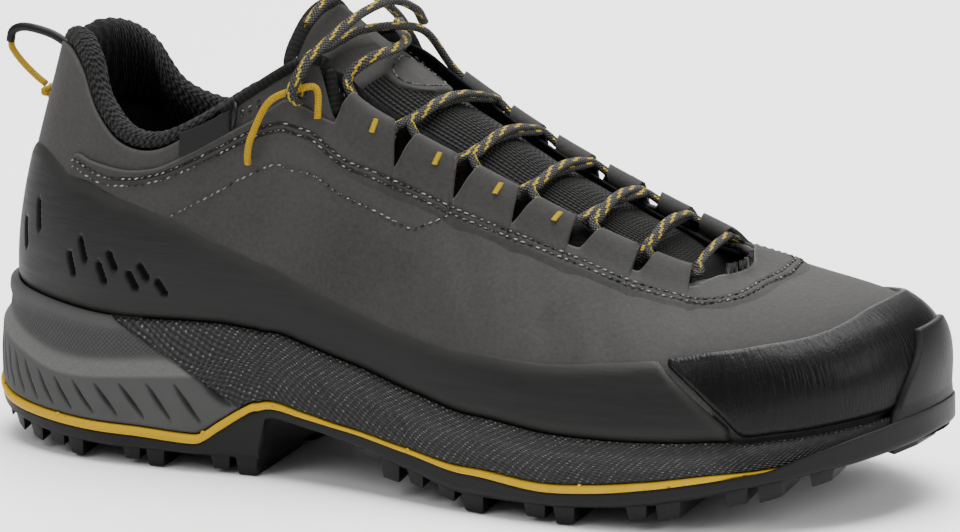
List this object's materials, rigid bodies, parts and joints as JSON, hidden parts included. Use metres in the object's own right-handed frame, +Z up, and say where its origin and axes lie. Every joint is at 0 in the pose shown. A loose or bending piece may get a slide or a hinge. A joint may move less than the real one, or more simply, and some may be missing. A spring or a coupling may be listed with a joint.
{
  "type": "approach shoe",
  "caption": "Low-cut right approach shoe with a nubuck upper, wrapped toe, knit collar roll, long laced throat and a lugged rubber sole that springs up at the toe.",
  "frame": {"origin": "on the floor under the middle of the shoe's box, measured without its cords", "axes": "+X from the heel to the toe, +Y towards the inner side of the foot, +Z up from the floor"},
  "size_m": [0.2944, 0.107, 0.1359],
  "materials": {
    "rubber": "matt black outsole rubber",
    "yellow_rubber": "satin yellow",
    "grey_foam": "matt dark grey foam",
    "textured_rubber": "woven relief",
    "sock_cloth": "black cloth",
    "nubuck": "dark warm grey nubuck",
    "matt_film": "matt dark film",
    "gloss_cap": "gloss black with fine ribs",
    "nubuck_overlay": "dark warm grey nubuck",
    "knit": "black knit",
    "webbing": "black woven cloth",
    "lace": "black woven with yellow flecks",
    "yellow_cord": "yellow braided cord"
  },
  "bodies": {
    "root": {"outsole": "rubber", "accent_layer": "yellow_rubber", "midsole_heel": "grey_foam", "midsole_wrap": "textured_rubber", "insole": "sock_cloth", "upper": "nubuck", "rand_film": "matt_film", "toe_cap": "gloss_cap", "eyestay": "nubuck_overlay", "collar_pad": "knit", "tongue": "webbing", "lace_bar": "lace", "lace_cross_1": "lace", "lace_cross_2": "lace", "lace_cross_3": "lace", "lace_cross_4": "lace", "lace_cross_5": "lace", "lace_top_a": "lace", "lace_top_b": "lace", "top_loop_outer": "yellow_cord", "top_loop_inner": "yellow_cord", "pull_sleeve": "rubber", "pull_cord": "yellow_cord"}
  },
  "joints": []
}
